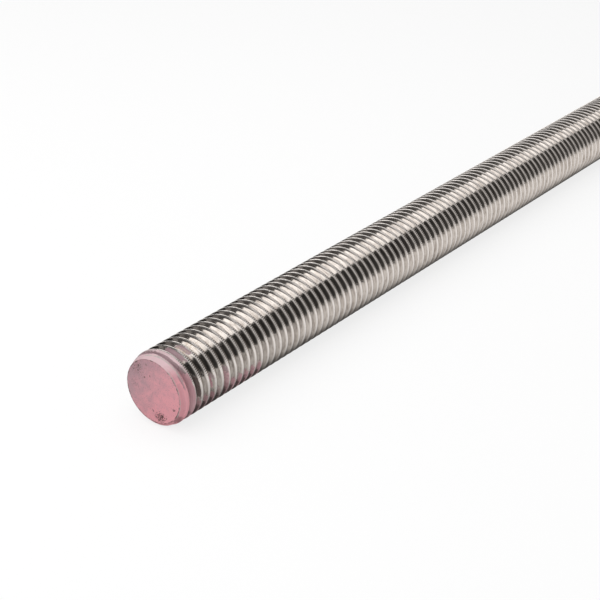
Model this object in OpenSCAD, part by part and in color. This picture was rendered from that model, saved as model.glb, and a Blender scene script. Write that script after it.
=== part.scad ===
// Threaded rod: a straight bar of stainless steel, threaded from end to end, with one end
// daubed in pink marking paint. It lies along +X. The origin is the centre of the painted
// end's flat face, so the bar runs from X = 0 to X = rod_l.
//
// The bar is one solid of revolution, as wide as the thread's crests and chamfered at both
// ends. The thread's groove is finer than this solid carries.

/* [Rod] */
// Overall length, from the painted end's face to the plain end's face
rod_l = 304.8; // [100:0.1:1000]
// Major diameter, over the crests of the thread
major_d = 19.05; // [10:0.05:30]

/* [Ends] */
// How far in from the crests the painted end's chamfer reaches
painted_chamfer_depth = 1.05; // [0.3:0.05:3]
// How far in from the crests the plain end's chamfer reaches
plain_chamfer_depth = 1.05; // [0.3:0.05:3]
// Angle between each chamfer and the bar's axis
chamfer_angle = 45; // [30:1:60]

/* [Hidden] */
stainless_colour = [0.74, 0.72, 0.69];
round_fn = 96;
major_r = major_d / 2;

// Distance along the axis over which a chamfer climbs from its face to the crests
function chamfer_length(depth) = depth / tan(chamfer_angle);

// Half of the bar's lengthwise section, as [distance from the axis, distance along it]
function half_section() = [
    [0, 0],
    [major_r - painted_chamfer_depth, 0],
    [major_r, chamfer_length(painted_chamfer_depth)],
    [major_r, rod_l - chamfer_length(plain_chamfer_depth)],
    [major_r - plain_chamfer_depth, rod_l],
    [0, rod_l]
];

// The whole bar, turned about its axis and laid along +X
module rod() {
    color(stainless_colour)
        rotate([0, 90, 0])
            rotate_extrude($fn = round_fn)
                polygon(half_section());
}

rod();
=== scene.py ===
"""A threaded rod of rolled stainless steel, its sawn end marked with pink paint."""

import math

import bpy
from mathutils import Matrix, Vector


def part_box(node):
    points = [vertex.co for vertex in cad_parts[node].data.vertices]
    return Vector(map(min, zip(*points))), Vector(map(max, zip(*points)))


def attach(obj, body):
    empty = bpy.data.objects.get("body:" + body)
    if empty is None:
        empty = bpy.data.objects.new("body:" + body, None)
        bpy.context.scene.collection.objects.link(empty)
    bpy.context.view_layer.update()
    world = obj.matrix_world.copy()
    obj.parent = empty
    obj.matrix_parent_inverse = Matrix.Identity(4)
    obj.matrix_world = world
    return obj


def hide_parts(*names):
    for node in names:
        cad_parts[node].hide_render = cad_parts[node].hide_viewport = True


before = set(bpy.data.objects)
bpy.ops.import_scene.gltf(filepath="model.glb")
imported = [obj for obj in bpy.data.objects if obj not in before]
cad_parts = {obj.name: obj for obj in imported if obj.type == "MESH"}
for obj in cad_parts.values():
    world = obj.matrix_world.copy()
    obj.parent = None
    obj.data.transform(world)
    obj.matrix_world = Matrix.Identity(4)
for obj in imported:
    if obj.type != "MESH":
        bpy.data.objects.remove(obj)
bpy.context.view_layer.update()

MM = 0.001
low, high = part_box("rod")
LENGTH = high.x - low.x
CREST_R = high.z
TABLE = low.z

# The thread: ten turns to the inch, right-handed.
PITCH = 2.54 * MM
CREST_START = 1.20 * MM           # where the first crest crosses the top of the rod
CHAMFER = 1.05 * MM               # the 45 degree chamfer's depth at both ends
# The marked end's chamfer was ground on by hand, and runs further along the rod on its far upper side.
LONGEST_AT = -65                  # the turn where it is longest, in degrees from the top
LONGER = 1.7                      # how many times its plain length it gains there
LONGER_FADE = 1.5                 # the power by which that gain falls off to both sides
SIDES = 80                        # facets in one turn
# From a crest's middle down to the root, as (run along the rod in pitches, fall in degrees): first the side
# that looks along the rod, then the side that looks back at the marked end. The dies leave a broad crest,
# flat in the middle, that rolls over its shoulders into the flanks, the one along the rod more slowly.
FAR_STEPS = ((0.090, 0), (0.085, 12), (0.115, 18), (0.040, 34))
NEAR_STEPS = ((0.080, 0), (0.065, 13), (0.065, 22), (0.050, 39))
FLANK_FALLS = (60, 47.5)          # in degrees, for the same two sides
ROOT_FLAT = 0.030                 # in pitches


def linear(code, alpha=1.0):
    """An sRGB hex colour as the linear values that a shader takes."""
    parts = [int(code[i:i + 2], 16) / 255 for i in (1, 3, 5)]
    return [p / 12.92 if p <= 0.04045 else ((p + 0.055) / 1.055) ** 2.4 for p in parts] + [alpha]


def thread_profile():
    """(way along the rod, radius) of the points across one pitch, counted from a crest's middle."""
    sides = []
    for steps in (FAR_STEPS, NEAR_STEPS):
        run, fall = 0, 0
        side = []
        for step, degrees in steps:
            run += step
            fall += step * math.tan(math.radians(degrees))
            side.append((run, fall))
        sides.append(side)
    (far_run, far_fall), (near_run, near_fall) = sides[0][-1], sides[1][-1]
    far_steep, near_steep = (math.tan(math.radians(degrees)) for degrees in FLANK_FALLS)
    left = 1 - ROOT_FLAT - far_run - near_run
    depth = (left + far_fall / far_steep + near_fall / near_steep) / (1 / far_steep + 1 / near_steep)
    sides[0].append((far_run + (depth - far_fall) / far_steep, depth))
    sides[1].append((near_run + (depth - near_fall) / near_steep, depth))
    shape = sides[0] + [(1 - run, fall) for run, fall in reversed(sides[1])]
    return [(run * PITCH, CREST_R - fall * PITCH) for run, fall in shape]


def mesh_of(name, points, faces):
    """A new mesh, checked for faults."""
    mesh = bpy.data.meshes.new(name)
    mesh.from_pydata(points, [], faces)
    mesh.validate()
    return mesh


def place(name, data):
    """A new object in the scene."""
    made = bpy.data.objects.new(name, data)
    bpy.context.scene.collection.objects.link(made)
    return made


def thread_mesh():
    """The thread as a closed solid that runs past both ends of the rod."""
    profile = thread_profile()
    rows_per_turn = len(profile)
    before, after = 3, 1          # turns past the marked end and past the plain end, to be trimmed off
    turns = before + int(LENGTH / PITCH) + after
    first = CREST_START - before * PITCH
    points = []
    for side in range(SIDES):
        a = 2 * math.pi * side / SIDES
        for turn in range(turns):
            for x, r in profile:
                along = first + PITCH * (turn + side / SIDES) + x
                points.append((along, -r * math.sin(a), r * math.cos(a)))
    rows = turns * rows_per_turn

    def at(side, row):
        """A point's number. Once round the rod, a row meets the same row of the next turn."""
        return (side % SIDES) * rows + row + (rows_per_turn if side == SIDES else 0)

    faces = []
    for side in range(SIDES):
        last = rows - 1 if side < SIDES - 1 else rows - 1 - rows_per_turn
        for row in range(last):
            faces.append((at(side, row), at(side + 1, row), at(side + 1, row + 1), at(side, row + 1)))
    low_rim = [at(side, 0) for side in range(SIDES)] + [at(0, row) for row in range(rows_per_turn, 0, -1)]
    top = rows - 1
    high_rim = [at(side, top) for side in range(SIDES - 1)]
    high_rim += [at(SIDES - 1, row) for row in range(top, top - rows_per_turn - 1, -1)]
    for rim, flip in ((low_rim, False), (high_rim, True)):
        centre = len(points)
        points.append((sum(points[i][0] for i in rim) / len(rim), 0, 0))
        for i, here in enumerate(rim):
            there = rim[(i + 1) % len(rim)]
            faces.append((there, centre, here) if flip else (here, centre, there))
    return mesh_of("thread", points, faces)


def ground(turn):
    """How many times its plain length the marked end's chamfer is at a turn, in radians from the top."""
    return 1 + LONGER * max(0.0, math.cos(turn - math.radians(LONGEST_AT))) ** LONGER_FADE


def blank_mesh():
    """The chamfered bar that trims the thread to its length, a little wider than the crests."""
    over = 0.2 * MM               # how far it stands clear of the crests
    outline = [(0, CREST_R - CHAMFER), (CHAMFER + over, CREST_R + over),
               (LENGTH - CHAMFER - over, CREST_R + over), (LENGTH, CREST_R - CHAMFER)]
    sides = 2 * SIDES
    off_grid = 0.37               # keeps the bar's corners off the thread's
    ground_ring, last_ring = 1, len(outline) - 1
    points = []
    for ring, (x, r) in enumerate(outline):
        for side in range(sides):
            a = 2 * math.pi * (side + off_grid) / sides
            along = x * ground(a) if ring == ground_ring else x
            points.append((along, -r * math.sin(a), r * math.cos(a)))

    def at(ring, side):
        return ring * sides + side % sides

    faces = []
    for ring in range(last_ring):
        for side in range(sides):
            faces.append((at(ring, side), at(ring, side + 1), at(ring + 1, side + 1), at(ring + 1, side)))
    faces.append([at(0, side) for side in range(sides - 1, -1, -1)])
    faces.append([at(last_ring, side) for side in range(sides)])
    return mesh_of("blank", points, faces)


def rod_piece():
    """The threaded rod: the thread trimmed by the chamfered bar."""
    piece = place("threaded_rod", thread_mesh())
    blank = place("blank", blank_mesh())
    trim = piece.modifiers.new("trim", "BOOLEAN")
    trim.operation = "INTERSECT"
    trim.solver = "EXACT"
    trim.object = blank
    bpy.context.view_layer.update()
    evaluated = piece.evaluated_get(bpy.context.evaluated_depsgraph_get())
    trimmed = bpy.data.meshes.new_from_object(evaluated)
    piece.modifiers.clear()
    piece.data = trimmed
    bpy.data.objects.remove(blank)
    return piece


def lay_out(piece):
    """Unrolls the rod's surface: two strips of half its length, and the two end faces beside them."""
    mesh = piece.data
    sheet = 160 * MM              # the layout's side, on which lengths keep their real scale
    gap = 1.5 * MM
    half = LENGTH / 2
    around = 2 * math.pi * CREST_R
    disc = 1.5                    # the end faces are laid out this much larger
    disc_v = 2 * (around + 2 * gap) + disc * CREST_R + gap
    uv = mesh.uv_layers.new(name="OFBake")
    mesh.uv_layers.active = uv
    for face in mesh.polygons:
        cx, cy, cz = face.center
        flat = abs(face.normal.x) > 0.99    # true of the end faces only
        middle = math.atan2(-cy, cz)
        for i in face.loop_indices:
            x, y, z = mesh.vertices[mesh.loops[i].vertex_index].co
            if flat:
                u = disc * (CREST_R + z) + gap + (0 if cx < half else 2 * disc * CREST_R + gap)
                v = disc_v + disc * y
            else:
                a = math.atan2(-y, z)
                a += 2 * math.pi * round((middle - a) / (2 * math.pi))
                u = gap + x - (0 if cx < half else half)
                v = gap + (a / (2 * math.pi) + 0.5) * around + (0 if cx < half else around + 2 * gap)
            uv.data[i].uv = (u / sheet, v / sheet)


def shade(piece):
    """Smooth over the rolled roundings and crisp at the sawn and turned edges."""
    sharpest_rounding = 35        # degrees between two facets
    widest_faces_lead = 100       # the modifier's largest weight, for the crests' flats and the flanks
    mesh = piece.data
    mesh.shade_smooth()
    mesh.set_sharp_from_angle(angle=math.radians(sharpest_rounding))
    even = piece.modifiers.new("even_shading", "WEIGHTED_NORMAL")
    even.keep_sharp = True
    even.weight = widest_faces_lead


MATH = "ShaderNodeMath"
VECTORS = "ShaderNodeVectorMath"
RANGE = "ShaderNodeMapRange"
NOISE = "ShaderNodeTexNoise"
MIX = "ShaderNodeMix"
JOIN = "ShaderNodeCombineXYZ"
LOW_NOISE, HIGH_NOISE = 0.3, 0.7  # a noise's values mostly lie between these


def add(tree, kind, inputs=None, **settings):
    """A new node with its settings, returned as its live output.

    An input is a value or the output that feeds it.
    """
    made = tree.nodes.new(kind)
    for name, value in settings.items():
        setattr(made, name, value)
    for name, value in (inputs or {}).items():
        if isinstance(value, bpy.types.NodeSocket):
            tree.links.new(value, made.inputs[name])
        else:
            made.inputs[name].default_value = value
    live = [out for out in made.outputs if out.enabled]
    return live[0] if live else made


def new_material(name):
    """A material with no nodes yet, and the tree that it is built in."""
    made = bpy.data.materials.new(name)
    made.use_nodes = True
    made.node_tree.nodes.clear()
    return made, made.node_tree


FLANK_STEEL = "#CAC1BA"           # the flanks as the dies left them
LINED_STEEL = "#DFD8D1"           # along their finer lines
OILY_STEEL = "#ABA096"            # under a film of old rolling oil
CREST_STEEL_AND_HIGHLIGHT = "#F2ECE8"           # crests, rubbed bright on benches and in nuts, and lighter still as a painted highlight
SAWN_STEEL = "#C6BDB7"
PINK = "#E09CA4"
DUSTY_PINK = "#AE8A91"            # the same paint under workshop dirt
SCUFFED = "#B3ABA6"               # steel scraped matt where the paint wore through
CHATTER_SHADE = "#4E4741"               # painted shade along the chatter ridges, dark so that they show
GRIME = "#7E7269"                 # old oil in streaks along the grooves
SPECK = "#43352F"

# What the brush and the workshop left past the solid coat, with shade and glare painted in among them, the
# undermost
# first: (name, colour, how much it hides, softness in degrees, patches). A patch is (from crest, to crest,
# repeats, from degree, to degree, cover): crest 0 is the first one, 0.5 is the root after it, repeats are on
# the grooves that follow, and degrees run from the top of the rod towards its near side.
LEFTOVERS_SHADE_AND_GLARE = (
    # a wipe so thin that the steel greys it
    ("mauve", "#94777D", 0.9, 2.0, (
        (0.12, 0.73, 1, -20, 53, 0.95), (-0.22, 0.14, 1, 45, 67, 0.7), (1.22, 1.88, 1, -5, 33, 0.95),
        (2.60, 2.98, 1, 5, 27, 0.9), (3.30, 3.95, 1, 71, 80, 0.6), (5.45, 5.95, 1, 72, 80, 0.7),
        (0.20, 0.95, 1, -70, -20, 0.8), (1.20, 1.90, 1, -112, -64, 0.8), (2.20, 2.90, 1, -98, -80, 0.6),
        (4.20, 4.90, 1, 158, 176, 0.7))),
    # cutting oil and swarf dust dried on to paint; the patch in the first groove on the near side and
    # the one low on the chamfer are painted shade
    ("brown dirt and shade", "#4E3D39", 0.75, 2.0, (
        (1.20, 1.86, 1, 60, 97, 0.92), (0.16, 0.42, 1, 55, 125, 0.45), (-3.00, -0.05, 1, 124, 142, 0.6),
        (2.30, 2.85, 1, 61, 66, 0.5), (2.30, 2.60, 1, 90, 100, 0.5), (3.40, 3.80, 1, 97, 104, 0.5))),
    # paint in the grooves, dulled by dirt
    ("dusky pink", "#B5848C", 1.0, 2.5, (
        (0.42, 1.12, 1, 49, 180, 0.95), (1.42, 2.12, 1, -180, -140, 0.9), (0.30, 1.10, 1, -140, -60, 0.9),
        (3.26, 3.66, 1, 79, 95, 0.9), (5.45, 5.97, 1, 79, 104, 0.75), (6.62, 7.00, 5, 99, 130, 0.85),
        (-3.00, -0.25, 1, 62, 150, 0.30), (1.30, 1.90, 2, 150, 180, 0.7),
        (2.30, 2.90, 2, -180, -150, 0.7), (2.30, 2.90, 3, -150, -120, 0.6))),
    # the same paint, darkened as painted shade low on the near side, towards the underside
    ("shaded pink", "#94696F", 1.0, 2.5, (
        (1.50, 2.00, 1, 100, 150, 0.85), (2.45, 2.98, 1, 100, 150, 0.8), (3.48, 3.98, 1, 102, 150, 0.9),
        (4.55, 4.95, 1, 103, 130, 0.45), (5.50, 5.98, 1, 102, 128, 0.9))),
    # thin smears of tan oil across the flanks
    ("tan oil", "#B7A48F", 0.45, 1.0, (
        (2.40, 2.78, 1, 8, 11, 0.7), (2.40, 2.80, 1, 14, 16, 0.7), (2.45, 2.80, 1, 20, 23, 0.7),
        (3.45, 3.85, 1, 11, 13, 0.6), (3.45, 3.90, 1, 17, 19.5, 0.7), (3.45, 3.90, 1, 25, 26.5, 0.5),
        (4.45, 4.85, 1, 8, 10, 0.5), (4.50, 4.85, 1, 16, 18, 0.6), (4.50, 4.90, 1, 22, 23.5, 0.5))),
    # painted shade deep in the grooves along the underside
    ("underside groove shade", "#342C28", 0.8, 3.0, (
        (0.46, 0.80, 1, 116, 160, 0.75), (1.42, 1.84, 1, 113, 160, 0.8), (2.42, 2.84, 9, 114, 160, 0.8))),
    # paler paint over the second crest's top and faintly low on the near side, and a painted glare over the
    # top of the chamfer and first crest
    ("pale pink and glare", "#D6BABD", 0.9, 14.0, (
        (-3.00, 0.13, 1, -38, 38, 0.80), (0.73, 1.04, 1, -24, 44, 0.95), (0.42, 1.12, 1, 88, 150, 0.22))),
)
# Chips and pits on the painted face: (across, up, radius) in mm from the rod's axis.
FACE_CHIPS = ((2.62, 3.11, 0.30), (0.77, 3.91, 0.24), (1.85, 6.72, 0.24), (4.42, 5.85, 0.32),
              (0.27, -5.30, 0.30), (-2.70, -5.90, 0.34), (-0.60, -6.70, 0.22), (-3.90, -6.20, 0.24),
              (-1.50, -7.30, 0.28), (-6.48, -2.83, 0.40))
# Where specks of grit stuck in it: (across, up and reach in mm, how thickly at most).
DIRT_SPOTS = ((-2.0, -6.4, 3.1, 0.25), (5.2, 5.0, 5.0, 0.17), (6.0, 0.5, 4.0, 0.13), (0.0, 0.0, 40.0, 0.07))
FACE_EDGE = (CREST_R - CHAMFER) / MM    # an end face's radius, in mm
ON_FACE = 0.02                    # in mm: what is nearer than this to an end's plane is on its face
ROOT_MIDDLE = 0.52                # in pitches past a crest
CHATTER_APART = 0.55              # in mm; really 0.38, drawn coarser so that it shows
CHATTER_LEAN = 1.2                # how many ridges' width it leans over one pitch


def where_on_rod(tree):
    """Places on the rod's surface that its marks follow, in mm, degrees and pitches."""
    point = add(tree, "ShaderNodeTexCoord").node.outputs["Object"]
    metres = add(tree, "ShaderNodeSeparateXYZ", {0: point}).node.outputs
    x_mm, y_mm, z_mm = (add(tree, MATH, {0: metres[axis], 1: 1 / MM}, operation="MULTIPLY")
                        for axis in "XYZ")
    minus_y = add(tree, MATH, {0: y_mm, 1: -1.0}, operation="MULTIPLY")
    turn = add(tree, MATH, {0: minus_y, 1: z_mm}, operation="ARCTAN2")
    turn = add(tree, MATH, {0: turn, 1: 1 / (2 * math.pi)}, operation="MULTIPLY")
    pitches = add(tree, MATH, {0: x_mm, 1: CREST_START / MM}, operation="SUBTRACT")
    pitches = add(tree, MATH, {0: pitches, 1: MM / PITCH}, operation="MULTIPLY")
    crests = add(tree, MATH, {0: pitches, 1: turn}, operation="SUBTRACT")
    phase = add(tree, MATH, {0: crests}, operation="FRACT")
    past_crest = add(tree, MATH, {0: crests, 1: 0.5}, operation="ADD")
    past_crest = add(tree, MATH, {0: past_crest}, operation="FRACT")
    past_crest = add(tree, MATH, {0: past_crest, 1: 0.5}, operation="SUBTRACT")
    off_root = add(tree, MATH, {0: phase, 1: ROOT_MIDDLE}, operation="SUBTRACT")
    off_root = add(tree, MATH, {0: off_root}, operation="ABSOLUTE")
    around_mm = add(tree, MATH, {0: turn, 1: 2 * math.pi * CREST_R / MM}, operation="MULTIPLY")
    degrees = add(tree, MATH, {0: turn, 1: 360.0}, operation="MULTIPLY")
    flat = add(tree, JOIN, {0: y_mm, 1: z_mm})
    radius = add(tree, VECTORS, {0: flat}, operation="LENGTH").node.outputs["Value"]
    solid = add(tree, JOIN, {0: x_mm, 1: y_mm, 2: z_mm})
    unrolled = add(tree, JOIN, {0: x_mm, 1: around_mm})
    on_face = add(tree, MATH, {0: x_mm, 1: ON_FACE}, operation="LESS_THAN")
    sawn = add(tree, MATH, {0: x_mm, 1: LENGTH / MM - ON_FACE}, operation="GREATER_THAN")
    # rags and paper wipe paint and dirt off in ragged steps some 1 mm across
    ragged = add(tree, NOISE, {"Vector": solid, "Scale": 1.0, "Detail": 5.0, "Roughness": 0.65})
    return dict(x=x_mm, crests=crests, phase=phase, past_crest=past_crest, off_root=off_root,
                around=around_mm, degrees=degrees, radius=radius, solid=solid, flat=flat,
                unrolled=unrolled, on_face=on_face, sawn=sawn, ragged=ragged)


def chatter(tree, at):
    """The dies' chatter over the crests' far shoulders: its ridges' height from -1 to 1, and their painted
    shade.
    """
    ridge = add(tree, MATH, {0: at["around"], 1: 2 * math.pi / CHATTER_APART}, operation="MULTIPLY")
    ridge = add(tree, MATH, {0: at["past_crest"], 1: 2 * math.pi * CHATTER_LEAN, 2: ridge},
                operation="MULTIPLY_ADD")
    ridge = add(tree, MATH, {0: ridge}, operation="SINE")
    shoulder = add(tree, MATH, {0: at["past_crest"], 1: 0.135, 2: 0.165}, operation="COMPARE")
    # strongest on the near upper side, and gone to both sides of it
    chattered = add(tree, MATH, {0: at["degrees"], 1: 47.0}, operation="SUBTRACT")
    chattered = add(tree, MATH, {0: chattered}, operation="ABSOLUTE")
    chattered = add(tree, RANGE, {"Value": chattered, "From Min": 14.0, "From Max": 30.0,
                                  "To Min": 1.0, "To Max": 0.0})
    shoulder = add(tree, MATH, {0: shoulder, 1: chattered}, operation="MULTIPLY")
    between_chamfers = add(tree, MATH, {0: at["x"], 1: LENGTH / MM / 2, 2: (LENGTH / 2 - CHAMFER) / MM},
                           operation="COMPARE")
    shoulder = add(tree, MATH, {0: shoulder, 1: between_chamfers}, operation="MULTIPLY")
    ridge = add(tree, MATH, {0: ridge, 1: shoulder}, operation="MULTIPLY")
    # painted shade along the ridges' tops, dark so that they show
    oil = add(tree, RANGE, {"Value": ridge, "From Min": -0.2, "From Max": 0.6,
                            "To Min": 0.0, "To Max": 0.9})
    oil = add(tree, MATH, {0: oil, 1: shoulder}, operation="MULTIPLY")
    return ridge, oil


def bare_steel(tree, at):
    """The steel without its paint: its colour and roughness, and the marks that its relief shares."""
    # the crests, rubbed bright and lighter still as a painted highlight
    bright = add(tree, RANGE, {"Value": at["off_root"], "From Min": 0.28, "From Max": 0.44})
    # die lines 0.2 mm apart and a few mm long, wound round the thread
    stretch = add(tree, VECTORS, {0: at["unrolled"], 1: (5.0, 0.45, 1.0)}, operation="MULTIPLY")
    lines = add(tree, NOISE, {"Vector": stretch, "Scale": 1.0, "Detail": 3.0, "Roughness": 0.6})
    colour = add(tree, MIX, {0: lines, 6: linear(FLANK_STEEL), 7: linear(LINED_STEEL)}, data_type="RGBA")
    # cloudy patches some 4 mm across, where handling and oil changed the shine
    cloud = add(tree, NOISE, {"Vector": at["solid"], "Scale": 1 / 4, "Detail": 4.0, "Roughness": 0.6})
    film = add(tree, RANGE, {"Value": cloud, "From Min": 0.46, "From Max": 0.70,
                             "To Min": 0.0, "To Max": 0.45})
    colour = add(tree, MIX, {0: film, 6: colour, 7: linear(OILY_STEEL)}, data_type="RGBA")
    # streaks of old oil some 4 mm long, in the grooves
    stretch = add(tree, VECTORS, {0: at["unrolled"], 1: (1.6, 0.28, 1.0)}, operation="MULTIPLY")
    streaks = add(tree, NOISE, {"Vector": stretch, "Scale": 1.0, "Detail": 5.0, "Roughness": 0.7})
    streaks = add(tree, RANGE, {"Value": streaks, "From Min": 0.46, "From Max": 0.68,
                                "To Min": 0.0, "To Max": 0.7})
    colour = add(tree, MIX, {0: streaks, 6: colour, 7: linear(GRIME)}, data_type="RGBA")
    colour = add(tree, MIX, {0: bright, 6: colour, 7: linear(CREST_STEEL_AND_HIGHLIGHT)}, data_type="RGBA")
    ridge, oil = chatter(tree, at)
    # the chatter ridges' painted shade
    colour = add(tree, MIX, {0: oil, 6: colour, 7: linear(CHATTER_SHADE)}, data_type="RGBA")
    colour = add(tree, MIX, {0: at["sawn"], 6: colour, 7: linear(SAWN_STEEL)}, data_type="RGBA")
    rough = add(tree, RANGE, {"Value": cloud, "From Min": LOW_NOISE, "From Max": HIGH_NOISE,
                              "To Min": 0.08, "To Max": 0.17})
    rough = add(tree, MATH, {0: bright, 1: 0.07, 2: rough}, operation="MULTIPLY_ADD")
    rough = add(tree, MATH, {0: at["sawn"], 1: 0.22, 2: rough}, operation="MULTIPLY_ADD")
    return dict(colour=colour, rough=rough, bright=bright, lines=lines, ridge=ridge)


def leftover(tree, at, patches, softness):
    """How much of the surface the patches of one kind of leftover cover."""
    push = add(tree, RANGE, {"Value": at["ragged"], "From Min": LOW_NOISE, "From Max": HIGH_NOISE,
                             "To Min": -5.0, "To Max": 5.0})
    nudge = add(tree, RANGE, {"Value": at["ragged"], "From Min": LOW_NOISE, "From Max": HIGH_NOISE,
                              "To Min": -0.05, "To Max": 0.05})
    # the brush went round as it went along, so the patches slant
    slant = add(tree, MATH, {0: at["phase"], 1: -14.0, 2: 10.0}, operation="MULTIPLY_ADD")
    degrees = add(tree, MATH, {0: at["degrees"], 1: slant}, operation="ADD")
    degrees = add(tree, MATH, {0: degrees, 1: push}, operation="ADD")
    crests = add(tree, MATH, {0: at["crests"], 1: nudge}, operation="ADD")
    total = 0.0
    for low_crest, high_crest, repeats, start, stop, cover in patches:
        away = add(tree, MATH, {0: degrees, 1: (start + stop) / 2}, operation="SUBTRACT")
        away = add(tree, MATH, {0: away}, operation="ABSOLUTE")
        reach = (stop - start) / 2
        round_it = add(tree, RANGE, {"Value": away,
                                     "From Min": reach - softness, "From Max": reach + softness,
                                     "To Min": cover, "To Max": 0.0})
        for repeat in range(repeats):
            along = add(tree, MATH, {0: crests, 1: (low_crest + high_crest) / 2 + repeat,
                                     2: (high_crest - low_crest) / 2}, operation="COMPARE")
            patch = add(tree, MATH, {0: round_it, 1: along}, operation="MULTIPLY")
            total = add(tree, MATH, {0: patch, 1: total}, operation="MAXIMUM")
    return total


def face_specks(tree, at):
    """Chips and grit on the painted face."""
    # grit some 0.26 mm across
    grit = add(tree, NOISE, {"Vector": at["solid"], "Scale": 3.8, "Detail": 2.0, "Roughness": 0.6})
    specks = 0.0
    for across, up, reach, most in DIRT_SPOTS:
        away = add(tree, VECTORS, {0: at["flat"], 1: (across, up, 0.0)}, operation="DISTANCE")
        limit = add(tree, RANGE, {"Value": away.node.outputs["Value"],
                                  "From Min": 0.2 * reach, "From Max": reach,
                                  "To Min": 0.72 - most, "To Max": 0.78})
        spot = add(tree, MATH, {0: grit, 1: limit}, operation="SUBTRACT")
        spot = add(tree, RANGE, {"Value": spot, "From Min": -0.02, "From Max": 0.04})
        specks = add(tree, MATH, {0: spot, 1: specks}, operation="MAXIMUM")
    wobble = add(tree, RANGE, {"Value": grit, "From Min": LOW_NOISE, "From Max": HIGH_NOISE,
                               "To Min": -0.3, "To Max": 0.3})
    for across, up, size in FACE_CHIPS:
        away = add(tree, VECTORS, {0: at["flat"], 1: (across, up, 0.0)}, operation="DISTANCE")
        away = add(tree, MATH, {0: away.node.outputs["Value"], 1: wobble}, operation="ADD")
        chip = add(tree, RANGE, {"Value": away, "From Min": 0.5 * size, "From Max": size,
                                 "To Min": 0.85, "To Max": 0.0})
        specks = add(tree, MATH, {0: chip, 1: specks}, operation="MAXIMUM")
    # grime caught in the burr round the face
    edge = add(tree, MATH, {0: at["radius"], 1: FACE_EDGE - 0.10, 2: 0.13}, operation="COMPARE")
    broken = add(tree, RANGE, {"Value": at["ragged"], "From Min": 0.46, "From Max": 0.56,
                               "To Min": 0.1, "To Max": 0.85})
    edge = add(tree, MATH, {0: edge, 1: broken}, operation="MULTIPLY")
    specks = add(tree, MATH, {0: edge, 1: specks}, operation="MAXIMUM")
    return add(tree, MATH, {0: specks, 1: at["on_face"]}, operation="MULTIPLY")


def worn_lines(tree, at):
    """Where paint is worn off: scuffed on the face's rim and first crest, bright on the second crest."""
    rim = add(tree, MATH, {0: at["radius"], 1: FACE_EDGE + 0.06, 2: 0.10}, operation="COMPARE")
    near_side = add(tree, MATH, {0: at["degrees"], 1: 76.0, 2: 46.0}, operation="COMPARE")
    rim = add(tree, MATH, {0: rim, 1: near_side}, operation="MULTIPLY")
    first = add(tree, MATH, {0: at["crests"], 1: -0.01, 2: 0.07}, operation="COMPARE")
    near_top = add(tree, MATH, {0: at["degrees"], 1: 24.0, 2: 44.0}, operation="COMPARE")
    first = add(tree, MATH, {0: first, 1: near_top}, operation="MULTIPLY")
    second = add(tree, MATH, {0: at["crests"], 1: 1.09, 2: 0.06}, operation="COMPARE")
    upper_side = add(tree, MATH, {0: at["degrees"], 1: 0.0, 2: 73.0}, operation="COMPARE")
    second = add(tree, MATH, {0: second, 1: upper_side}, operation="MULTIPLY")
    off_face = add(tree, MATH, {0: at["x"], 1: ON_FACE}, operation="GREATER_THAN")
    scuffed = add(tree, MATH, {0: first, 1: off_face}, operation="MULTIPLY")
    scuffed = add(tree, MATH, {0: scuffed, 1: rim}, operation="MAXIMUM")
    worn = add(tree, RANGE, {"Value": at["ragged"], "From Min": 0.42, "From Max": 0.5,
                             "To Min": 0.2, "To Max": 0.85})
    scuffed = add(tree, MATH, {0: scuffed, 1: worn}, operation="MULTIPLY")
    bared = add(tree, MATH, {0: second, 1: worn}, operation="MULTIPLY")
    return scuffed, bared


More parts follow.
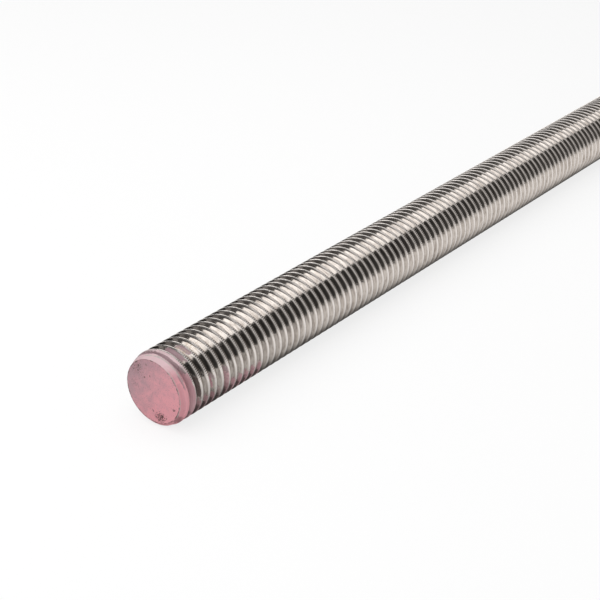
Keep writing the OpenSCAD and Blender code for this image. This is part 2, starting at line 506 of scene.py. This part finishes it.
def painted(tree, at, steel_colour):
    """The paint on the steel: a solid coat on the end face, chamfer and first crest, then its leftovers,
    with shade and glare painted among them.

    Gives the colour with the paint on, the paint's own roughness, how much of the steel it hides, and what
    the relief shares.
    """
    edge = add(tree, RANGE, {"Value": at["ragged"], "From Min": LOW_NOISE, "From Max": HIGH_NOISE,
                             "To Min": -0.06, "To Max": 0.06})
    # the coat's edge runs level round the rod's hidden side, not along the thread
    level = add(tree, RANGE, {"Value": at["degrees"], "From Min": -180.0, "From Max": -70.0,
                              "To Min": -1.0, "To Max": 0.0})
    reach = add(tree, MATH, {0: at["crests"], 1: level}, operation="ADD")
    reach = add(tree, MATH, {0: reach, 1: edge}, operation="ADD")
    coat = add(tree, RANGE, {"Value": reach, "From Min": 0.26, "From Max": 0.34,
                             "To Min": 1.0, "To Max": 0.0})
    # smears some 2 mm across; dirt lies thickest towards the far upper side of the face
    smear = add(tree, NOISE, {"Vector": at["solid"], "Scale": 1 / 2, "Detail": 6.0, "Roughness": 0.7})
    slope = add(tree, VECTORS, {0: at["flat"], 1: (0.066, 0.045, 0.0)}, operation="DOT_PRODUCT")
    dusty = add(tree, MATH, {0: smear, 1: 1.9, 2: slope.node.outputs["Value"]}, operation="MULTIPLY_ADD")
    dusty = add(tree, RANGE, {"Value": dusty, "From Min": 0.55, "From Max": 1.55})
    paint = add(tree, MIX, {0: dusty, 6: linear(PINK), 7: linear(DUSTY_PINK)}, data_type="RGBA")
    scuffed, bared = worn_lines(tree, at)
    coat = add(tree, MATH, {0: coat, 1: bared}, operation="SUBTRACT", use_clamp=True)
    colour = add(tree, MIX, {0: coat, 6: steel_colour, 7: paint}, data_type="RGBA")
    hidden = coat
    for name, tint, hides, softness, patches in LEFTOVERS_SHADE_AND_GLARE:
        share = leftover(tree, at, patches, softness)
        share = add(tree, MATH, {0: share, 1: bared}, operation="SUBTRACT", use_clamp=True)
        colour = add(tree, MIX, {0: share, 6: colour, 7: linear(tint)}, data_type="RGBA", label=name)
        hiding = add(tree, MATH, {0: share, 1: hides}, operation="MULTIPLY")
        hidden = add(tree, MATH, {0: hidden, 1: hiding}, operation="MAXIMUM")
    # the pale paint and its painted glare stop at the face's edge, with the other leftovers
    colour = add(tree, MIX, {0: at["on_face"], 6: colour, 7: paint}, data_type="RGBA")
    colour = add(tree, MIX, {0: scuffed, 6: colour, 7: linear(SCUFFED)}, data_type="RGBA")
    specks = face_specks(tree, at)
    colour = add(tree, MIX, {0: specks, 6: colour, 7: linear(SPECK)}, data_type="RGBA")
    rough = add(tree, RANGE, {"Value": smear, "From Min": LOW_NOISE, "From Max": HIGH_NOISE,
                              "To Min": 0.26, "To Max": 0.42})
    return dict(colour=colour, rough=rough, hidden=hidden, coat=coat, smear=smear, specks=specks)


def relief_mm(tree, at, steel, paint):
    """The height of the finer marks, in mm."""
    relief = add(tree, MATH, {0: steel["lines"], 1: 0.004}, operation="MULTIPLY")
    relief = add(tree, MATH, {0: steel["ridge"], 1: 0.010, 2: relief}, operation="MULTIPLY_ADD")
    # nicks from other rods in the bundle, under 1 mm long, across the crests
    stretch = add(tree, VECTORS, {0: at["solid"], 1: (1.0, 2.2, 2.2)}, operation="MULTIPLY")
    nicks = add(tree, NOISE, {"Vector": stretch, "Scale": 0.8, "Detail": 1.0})
    nicks = add(tree, RANGE, {"Value": nicks, "From Min": 0.66, "From Max": 0.76})
    nicks = add(tree, MATH, {0: nicks, 1: steel["bright"]}, operation="MULTIPLY")
    relief = add(tree, MATH, {0: nicks, 1: -0.05, 2: relief}, operation="MULTIPLY_ADD")
    ends = add(tree, MATH, {0: at["on_face"], 1: at["sawn"]}, operation="MAXIMUM")
    rolled = add(tree, MATH, {0: 1.0, 1: ends}, operation="SUBTRACT")
    relief = add(tree, MATH, {0: relief, 1: rolled}, operation="MULTIPLY")
    coat_mm = add(tree, MATH, {0: paint["smear"], 1: 0.035}, operation="MULTIPLY")
    relief = add(tree, MATH, {0: paint["coat"], 1: coat_mm, 2: relief}, operation="MULTIPLY_ADD")
    relief = add(tree, MATH, {0: paint["specks"], 1: -0.03, 2: relief}, operation="MULTIPLY_ADD")
    # the plain end's saw marks, 0.5 mm apart
    stretch = add(tree, VECTORS, {0: at["solid"], 1: (1.0, 2.0, 0.12)}, operation="MULTIPLY")
    saw = add(tree, NOISE, {"Vector": stretch, "Scale": 1.0, "Detail": 3.0})
    saw = add(tree, MATH, {0: saw, 1: at["sawn"]}, operation="MULTIPLY")
    return add(tree, MATH, {0: saw, 1: 0.10, 2: relief}, operation="MULTIPLY_ADD")


def marked_stainless():
    """Stainless steel: its thread cold rolled, its ends sawn and chamfered, one daubed with marking paint.

    Rolling leaves smooth bright flanks, faint lines round the thread and a chatter on each crest's far
    shoulder, darkened with painted shade; the crests are lighter as a painted highlight. The paint is a thin
    brushed coat, worn off the crests and dirty in patches, with painted shade low in its grooves and a
    painted glare on the chamfer's top.
    """
    made, tree = new_material("cold_rolled_stainless_with_marking_paint")
    at = where_on_rod(tree)
    steel = bare_steel(tree, at)
    paint = painted(tree, at, steel["colour"])
    metallic = add(tree, MATH, {0: 1.0, 1: paint["hidden"]}, operation="SUBTRACT", use_clamp=True)
    rough = add(tree, MIX, {0: paint["hidden"], 2: steel["rough"], 3: paint["rough"]}, data_type="FLOAT")
    relief = relief_mm(tree, at, steel, paint)
    bump = add(tree, "ShaderNodeBump", {"Strength": 1.0, "Distance": MM, "Height": relief})
    shader = add(tree, "ShaderNodeBsdfPrincipled", {"Base Color": paint["colour"], "Metallic": metallic,
                                                    "Roughness": rough, "Normal": bump})
    add(tree, "ShaderNodeOutputMaterial", {"Surface": shader})
    return made


LAMP_Z = 0.40
LAMP_MIDDLE = (-0.25, 0.15)
LAMP_SIZE = (1.1, 0.70)           # along the rod and across it
LAMP_BRIGHTNESS = 1.25            # of its face, where 1 is white
ROOM_LIGHT = 0.5                  # the room's own, on anything matt
CARD_WAY = 0.90                   # how far the standing cards are from the marked end
CARD_FOLD = 4                     # degrees between the folds of a bent one
CARD_LIFT = 3 * MM                # how far over the table they end
DOWN = -9                         # an angle, in degrees, low enough for their feet to reach down to that
TABLE_FULL = 0.87                 # the table's own brightness in the metal, away from the rod
CAMERA_AT = (-0.217866, -0.210740, 0.176378)
CAMERA_TURN = (63.244, 0, -52.601)    # in degrees
SENSOR, LENS = 36, 87.43          # the sensor's width and the focal length, in mm
NEAREST, FURTHEST = 0.01, 20      # how far off the camera sees things


def card_paper():
    """Even matt paper for every card, each corner as bright as its card says, where 1 is white."""
    made, tree = new_material("matt_card_paper")
    level = add(tree, "ShaderNodeAttribute", attribute_name="level").node.outputs["Fac"]
    glow = add(tree, "ShaderNodeEmission", {"Color": linear("#FFFDFB"), "Strength": level})
    add(tree, "ShaderNodeOutputMaterial", {"Surface": glow})
    return made


def card(name, columns):
    """A studio card that only the metal's reflections see, from columns of two corners (x, y, z, level)."""
    corners = [corner for column in columns for corner in column]
    faces = [(2 * i, 2 * i + 1, 2 * i + 3, 2 * i + 2) for i in range(len(columns) - 1)]
    mesh = mesh_of(name, [corner[:3] for corner in corners], faces)
    levels = mesh.attributes.new("level", "FLOAT", "POINT")
    levels.data.foreach_set("value", [corner[3] for corner in corners])
    mesh.materials.append(paper)
    made = place(name, mesh)
    made.visible_camera = False
    made.visible_diffuse = False
    made.visible_shadow = False
    made.visible_transmission = False


def wall(name, turns, feet, tops, levels, distance=CARD_WAY):
    """A standing card bent round the marked end, between two turns in degrees from the rod's direction.

    feet and tops are the angles at which the marked end sees its edges, and levels is how bright it is, each
    at its start and its end.
    """
    columns = []
    steps = max(1, round(abs(turns[1] - turns[0]) / CARD_FOLD))
    for step in range(steps + 1):
        turn, foot, top, level = (a + step / steps * (b - a) for a, b in (turns, feet, tops, levels))
        x, y = distance * math.cos(math.radians(turn)), distance * math.sin(math.radians(turn))
        heights = [max(distance * math.tan(math.radians(rise)), TABLE + CARD_LIFT) for rise in (foot, top)]
        columns.append([(x, y, z, level) for z in heights])
    card(name, columns)


def table_cards():
    """What the metal sees of the table: the rod's own shade beside it, and greyer round the marked end."""
    z = TABLE + 1 * MM
    # (distance, share of the full brightness), from the marked end and then from the line under the rod
    along = ((-1.2, 0.60), (0.0, 0.60), (0.020, 0.66), (0.045, 0.90), (0.10, 0.97), (0.2, 1.02),
             (1.2, 1.02))
    across = ((0.0, 0.06), (0.0080, 0.16), (0.0118, 0.74), (0.018, 1.0), (1.2, 1.0))
    for side, way in (("near", -1), ("far", 1)):
        for strip, (inner, outer) in enumerate(zip(across, across[1:])):
            card(f"table_card_{side}_{strip}",
                 [[(x, way * y, z, TABLE_FULL * dim_x * dim_y) for y, dim_y in (inner, outer)]
                  for x, dim_x in along])


def studio():
    """Cards round the table: black behind the camera, grey past the plain end, dark on the far side."""
    table_cards()
    # black flags from behind the marked end round to the rod's near side, where they stand off the table
    wall("black_flag_a", (-182, -158), (DOWN, DOWN), (60, 60), (0.02, 0.02))
    wall("black_flag_b", (-158, -138), (DOWN, -5), (60, 60), (0.02, 0.03))
    wall("black_flag_c", (-138, -115), (-5, 2), (60, 60), (0.03, 0.07))
    wall("black_flag_d", (-115, -90), (2, 12), (60, 60), (0.07, 0.15))
    wall("black_flag_e", (-90, -60), (12, 17), (60, 60), (0.15, 0.35))
    # grey cards behind them, which show under their feet there
    wall("low_card_a", (-184, -120), (DOWN, DOWN), (30, 30), (0.42, 0.46), 1.0)
    wall("low_card_b", (-120, -60), (DOWN, DOWN), (30, 30), (0.46, 0.70), 1.0)
    # grey cards past the plain end, fading off to the dark ones, and one darker card before them
    wall("end_card_a", (-60, -25), (10, 10), (60, 60), (0.38, 0.48))
    wall("end_card_b", (-60, -25), (DOWN, DOWN), (10, 10), (0.70, 0.70))
    wall("end_card_c", (-25, 19), (30, 30), (62, 62), (0.54, 0.66))
    wall("end_card_d", (19, 28), (30, 30), (62, 62), (0.66, 0.09))
    wall("end_card_low_a", (-25, 0), (DOWN, DOWN), (30, 30), (0.48, 0.42))
    wall("end_card_low_b", (0, 12), (DOWN, DOWN), (30, 30), (0.42, 0.85))
    wall("end_card_low_c", (12, 24), (DOWN, DOWN), (30, 30), (0.85, 0.60))
    wall("end_card_low_d", (24, 33), (DOWN, DOWN), (30, 30), (0.60, 0.09))
    wall("end_card_dark", (-30, -3), (-3, -3), (27, 27), (0.30, 0.30), 0.85)
    # a bright low strip before the cards, from the plain end on towards the far side
    wall("far_rim_a", (4, 37), (DOWN, DOWN), (12, 17), (1.15, 1.8), 0.85)
    wall("far_rim_b", (37, 45), (DOWN, DOWN), (17, 9), (1.8, 1.9), 0.85)
    # dark cards on the far side, with a grey band across them some 30 degrees up
    wall("far_card_a", (22, 62), (30, 30), (62, 62), (0.07, 0.08))
    wall("far_card_h", (33, 62), (DOWN, DOWN), (30, 30), (0.07, 0.08))
    wall("far_card_b", (62, 92), (DOWN, DOWN), (28, 28), (0.04, 0.04))
    wall("far_card_c", (92, 150), (DOWN, DOWN), (27, 27), (0.03, 0.04))
    wall("far_card_d", (92, 150), (27, 27), (37, 37), (0.32, 0.30))
    wall("far_card_i", (92, 150), (37, 37), (42, 42), (0.10, 0.06))
    wall("far_card_e", (62, 92), (28, 28), (62, 62), (0.10, 0.13))
    wall("far_card_j", (62, 92), (27, 27), (36, 36), (0.28, 0.28), 0.88)
    wall("far_card_f", (92, 150), (42, 42), (62, 62), (0.08, 0.07))
    wall("far_card_g", (150, 178), (DOWN, DOWN), (32, 26), (0.12, 0.04))
    # a dark flag hides the softbox's far corner, towards the plain end, along a slant
    z = LAMP_Z - 10 * MM
    card("softbox_flag", [((-0.62, 0.53, z, 0.07), (-0.62, 0.58, z, 0.07)),
                          ((0.23, -0.17, z, 0.11), (0.40, 0.58, z, 0.11))])
    # a grey strip under that flag's far edge
    z = LAMP_Z - 11 * MM
    card("flag_edge", [((-0.50, 0.44, z, 0.25), (-0.50, 0.59, z, 0.25)),
                       ((0.40, 0.44, z, 0.25), (0.40, 0.59, z, 0.25))])
    # a black cloth on the table before the black flags, short of where the crests look
    z = TABLE + 2 * MM
    card("black_cloth", [((-0.95, -0.105, z, 0.03), (-0.95, -0.75, z, 0.03)),
                         ((0.06, -0.105, z, 0.03), (-0.45, -0.50, z, 0.03))])
    # the softbox's lining, which shows through the softbox's cloth and is brighter to the far side
    z = LAMP_Z + 5 * MM
    card("softbox_lining", [((-0.85, -0.20, z, 0.0), (0.40, -0.20, z, 0.0)),
                            ((-0.85, -0.05, z, 0.33), (0.40, -0.05, z, 0.33)),
                            ((-0.85, 0.60, z, 0.37), (0.40, 0.60, z, 0.37))])
    # a grey card overhead that carries on past the softbox, along the rod
    z = LAMP_Z - 15 * MM
    card("grey_head_card", [((0.20, -0.6, z, 0.52), (0.20, 0.12, z, 0.52)),
                            ((1.2, -0.6, z, 0.50), (1.2, 0.12, z, 0.50))])


def table():
    """White paper that fades into the white behind it and keeps the rod's shadow."""
    fade = 0.8                    # how much of it the camera sees as plain white
    half = 6.0                    # half its width
    made, tree = new_material("white_table_paper")
    camera_ray = add(tree, "ShaderNodeLightPath").node.outputs["Is Camera Ray"]
    matt = add(tree, "ShaderNodeBsdfDiffuse", {"Color": linear("#F4F4F4")})
    glow = add(tree, "ShaderNodeEmission", {"Color": linear("#FFFFFF"), "Strength": 1.0})
    share = add(tree, MATH, {0: camera_ray, 1: fade}, operation="MULTIPLY")
    both = add(tree, "ShaderNodeMixShader", {0: share, 1: matt, 2: glow})
    add(tree, "ShaderNodeOutputMaterial", {"Surface": both})
    corners = [(-half, -half, TABLE), (half, -half, TABLE), (half, half, TABLE), (-half, half, TABLE)]
    mesh = mesh_of("white_table", corners, [(0, 1, 2, 3)])
    mesh.materials.append(made)
    place("white_table", mesh)


def white_room():
    """White wherever the camera or a reflection looks past the cards, and soft light from all round."""
    world = bpy.data.worlds.new("white_room")
    bpy.context.scene.world = world
    world.use_nodes = True
    tree = world.node_tree
    tree.nodes.clear()
    path = add(tree, "ShaderNodeLightPath").node.outputs
    seen = add(tree, MATH, {0: path["Is Camera Ray"], 1: path["Is Glossy Ray"]}, operation="MAXIMUM")
    seen = add(tree, MATH, {0: seen, 1: path["Is Transmission Ray"]}, operation="MAXIMUM")
    strength = add(tree, MIX, {0: seen, 2: ROOM_LIGHT, 3: 1.0}, data_type="FLOAT")
    glow = add(tree, "ShaderNodeBackground", {"Color": linear("#FFFFFF"), "Strength": strength})
    add(tree, "ShaderNodeOutputWorld", {"Surface": glow})


def softbox():
    """A wide soft lamp over the marked end, most of it on the rod's far side."""
    lamp = bpy.data.lights.new("softbox", "AREA")
    lamp.shape = "RECTANGLE"
    lamp.size, lamp.size_y = LAMP_SIZE
    lamp.energy = LAMP_BRIGHTNESS * math.pi * lamp.size * lamp.size_y
    made = place("softbox", lamp)
    made.location = (*LAMP_MIDDLE, LAMP_Z)
    made.visible_camera = False


def camera():
    """The camera, before the marked end on the rod's near side, looking down along it."""
    lens = bpy.data.cameras.new("camera")
    lens.lens = LENS
    lens.sensor_width = SENSOR
    lens.clip_start, lens.clip_end = NEAREST, FURTHEST
    made = place("camera", lens)
    made.location = CAMERA_AT
    made.rotation_euler = [math.radians(turn) for turn in CAMERA_TURN]
    bpy.context.scene.camera = made


rod = rod_piece()
lay_out(rod)
shade(rod)
rod.data.materials.append(marked_stainless())
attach(rod, "root")
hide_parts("rod")

table()
white_room()
softbox()
paper = card_paper()
studio()
camera()
bpy.context.scene.view_settings.view_transform = "Standard"
